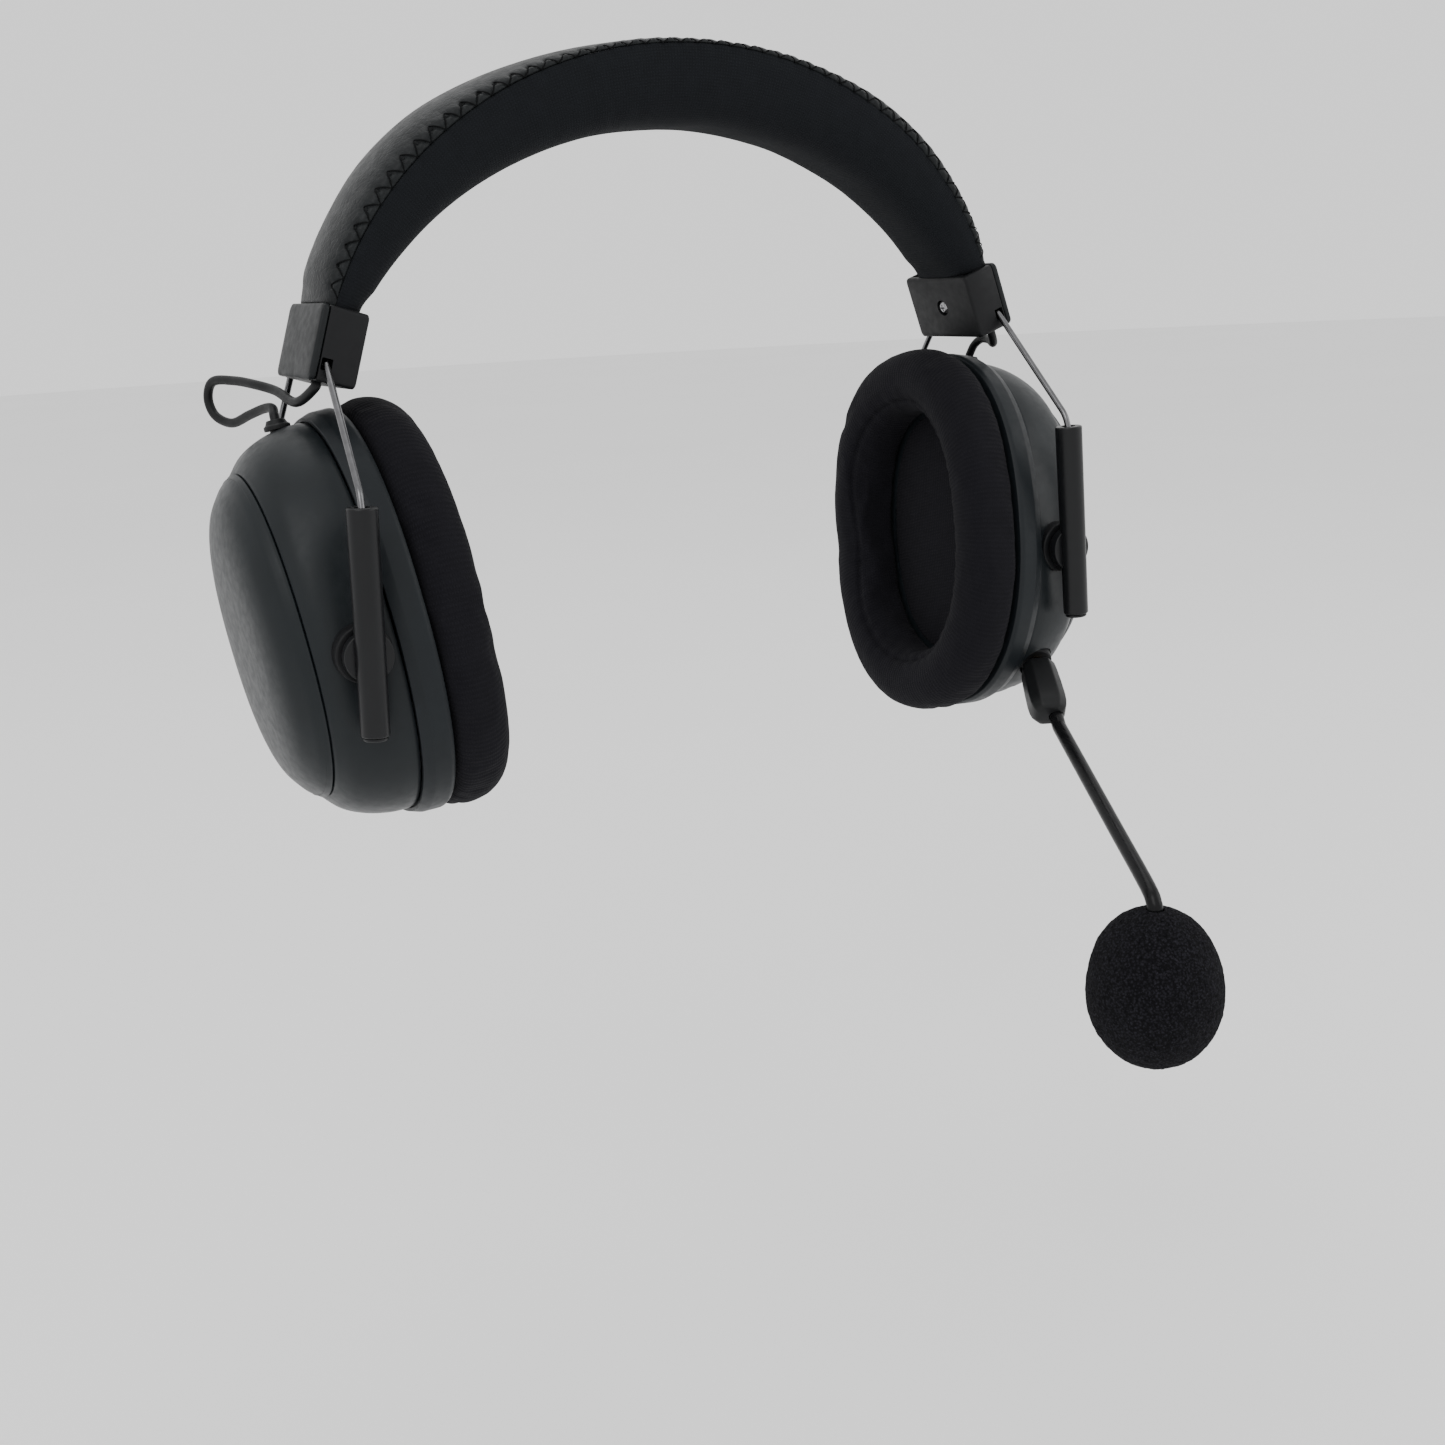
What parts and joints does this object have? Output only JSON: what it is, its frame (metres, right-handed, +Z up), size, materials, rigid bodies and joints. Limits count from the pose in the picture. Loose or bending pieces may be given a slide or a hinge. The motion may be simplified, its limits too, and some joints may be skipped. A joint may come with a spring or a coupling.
{
  "type": "headset microphone",
  "caption": "Over-ear headset with a padded headband, wire yokes, tilting ear cups and a detachable bendable boom microphone with a foam windscreen.",
  "frame": {"origin": "under the crown of the headband pad, where it rests on the wearer's head", "axes": "+Z up, +X to the wearer's left (the microphone's side), -Y to the wearer's front"},
  "size_m": [0.2494, 0.181, 0.2566],
  "materials": {
    "leatherette": "soft grained synthetic leather, dark grey",
    "pad_fabric": "fine black knitted fabric over foam",
    "cushion_fabric": "black ribbed fabric over foam",
    "scrim_fabric": "thin black acoustic cloth",
    "shell_plastic": "satin dark slate plastic",
    "dark_plastic": "satin black plastic",
    "wire_steel": "dark polished spring steel",
    "steel": "plain steel",
    "rubber": "smooth black cable jacket",
    "boom_rubber": "matt black flexible sleeve",
    "foam": "black open-cell foam",
    "film": "thin translucent film or foil wrap",
    "board": "green circuit board",
    "brass": "plated contact"
  },
  "bodies": {
    "headband": {"band_cover": "leatherette", "band_pad": "pad_fabric", "band_spring": "steel", "left_cable_upper": "rubber", "left_cap_inner": "dark_plastic", "left_cap_outer": "dark_plastic", "left_cap_screw": "steel", "left_wire_front": "wire_steel", "left_wire_rear": "wire_steel", "right_cable_upper": "rubber", "right_cap_inner": "dark_plastic", "right_cap_outer": "dark_plastic", "right_cap_screw": "steel", "right_wire_front": "wire_steel", "right_wire_rear": "wire_steel"},
    "left_yoke": {"left_slider_front": "dark_plastic", "left_slider_rear": "dark_plastic", "left_tube_plug_front": "dark_plastic", "left_tube_plug_rear": "dark_plastic"},
    "left_ear": {"left_cable_gland": "rubber", "left_cable_lower": "rubber", "left_charge_port": "steel", "left_circuit_board": "board", "left_cushion": "cushion_fabric", "left_dome": "shell_plastic", "left_driver_basket": "dark_plastic", "left_driver_diaphragm": "film", "left_driver_magnet": "steel", "left_housing": "shell_plastic", "left_mic_socket": "dark_plastic", "left_rim": "shell_plastic", "left_scrim": "scrim_fabric", "left_volume_encoder": "steel"},
    "right_yoke": {"right_slider_front": "dark_plastic", "right_slider_rear": "dark_plastic", "right_tube_plug_front": "dark_plastic", "right_tube_plug_rear": "dark_plastic"},
    "right_ear": {"right_battery": "film", "right_cable_gland": "rubber", "right_cable_lower": "rubber", "right_cushion": "cushion_fabric", "right_dome": "shell_plastic", "right_driver_basket": "dark_plastic", "right_driver_diaphragm": "film", "right_driver_magnet": "steel", "right_housing": "shell_plastic", "right_rim": "shell_plastic", "right_scrim": "scrim_fabric"},
    "mute_button": {"left_mute_button": "dark_plastic"},
    "power_button": {"left_power_button": "dark_plastic"},
    "volume_dial": {"left_volume_dial": "dark_plastic"},
    "microphone": {"mic_plug": "dark_plastic", "mic_jack": "brass", "mic_boom_root": "boom_rubber"},
    "boom_middle": {"mic_boom_middle": "boom_rubber"},
    "boom_end": {"mic_boom_end": "boom_rubber", "mic_capsule": "steel", "mic_foam": "foam"}
  },
  "joints": [
    {"name": "left_height", "type": "slide", "parent": "headband", "child": "left_yoke", "axis": [0.0471, 0, -0.9989], "range_m": [0, 0.033], "deforming": ["left_cable_upper"]},
    {"name": "left_tilt", "type": "hinge", "parent": "left_yoke", "child": "left_ear", "pos_m": [0.1025, 0, -0.1178], "axis": [0, 1, 0], "range_deg": [-11, 11], "deforming": ["left_cable_lower"]},
    {"name": "right_height", "type": "slide", "parent": "headband", "child": "right_yoke", "axis": [-0.0471, 0, -0.9989], "range_m": [0, 0.033], "deforming": ["right_cable_upper"]},
    {"name": "right_tilt", "type": "hinge", "parent": "right_yoke", "child": "right_ear", "pos_m": [-0.1025, 0, -0.1178], "axis": [0, 1, 0], "range_deg": [-11, 11], "deforming": ["right_cable_lower"]},
    {"name": "mic_unplug", "type": "slide", "parent": "left_ear", "child": "microphone", "axis": [-0.3824, -0.7749, -0.5032], "range_m": [0, 0.024]},
    {"name": "boom_lift", "type": "hinge", "parent": "microphone", "child": "boom_middle", "pos_m": [0.08119, -0.07261, -0.17336], "axis": [-0.9391, 0.3436, 0], "range_deg": [-25, 35]},
    {"name": "boom_swing", "type": "hinge", "parent": "boom_middle", "child": "boom_end", "pos_m": [0.07366, -0.09319, -0.18136], "axis": [-0.1178, -0.322, 0.9394], "range_deg": [-30, 30]},
    {"name": "volume_turn", "type": "hinge", "parent": "left_ear", "child": "volume_dial", "pos_m": [0.0996, 0.00496, -0.15711], "axis": [0.9938, 0, -0.1115], "range_deg": [-135, 135]},
    {"name": "mute_press", "type": "slide", "parent": "left_ear", "child": "mute_button", "axis": [-0.0112, -0.9949, -0.1], "range_m": [0, 0.0007], "stiffness_N_per_m": 800, "springref_m": -0.0004},
    {"name": "power_press", "type": "slide", "parent": "left_ear", "child": "power_button", "axis": [0.0594, -0.8462, 0.5296], "range_m": [0, 0.0007], "stiffness_N_per_m": 800, "springref_m": -0.0004}
  ]
}
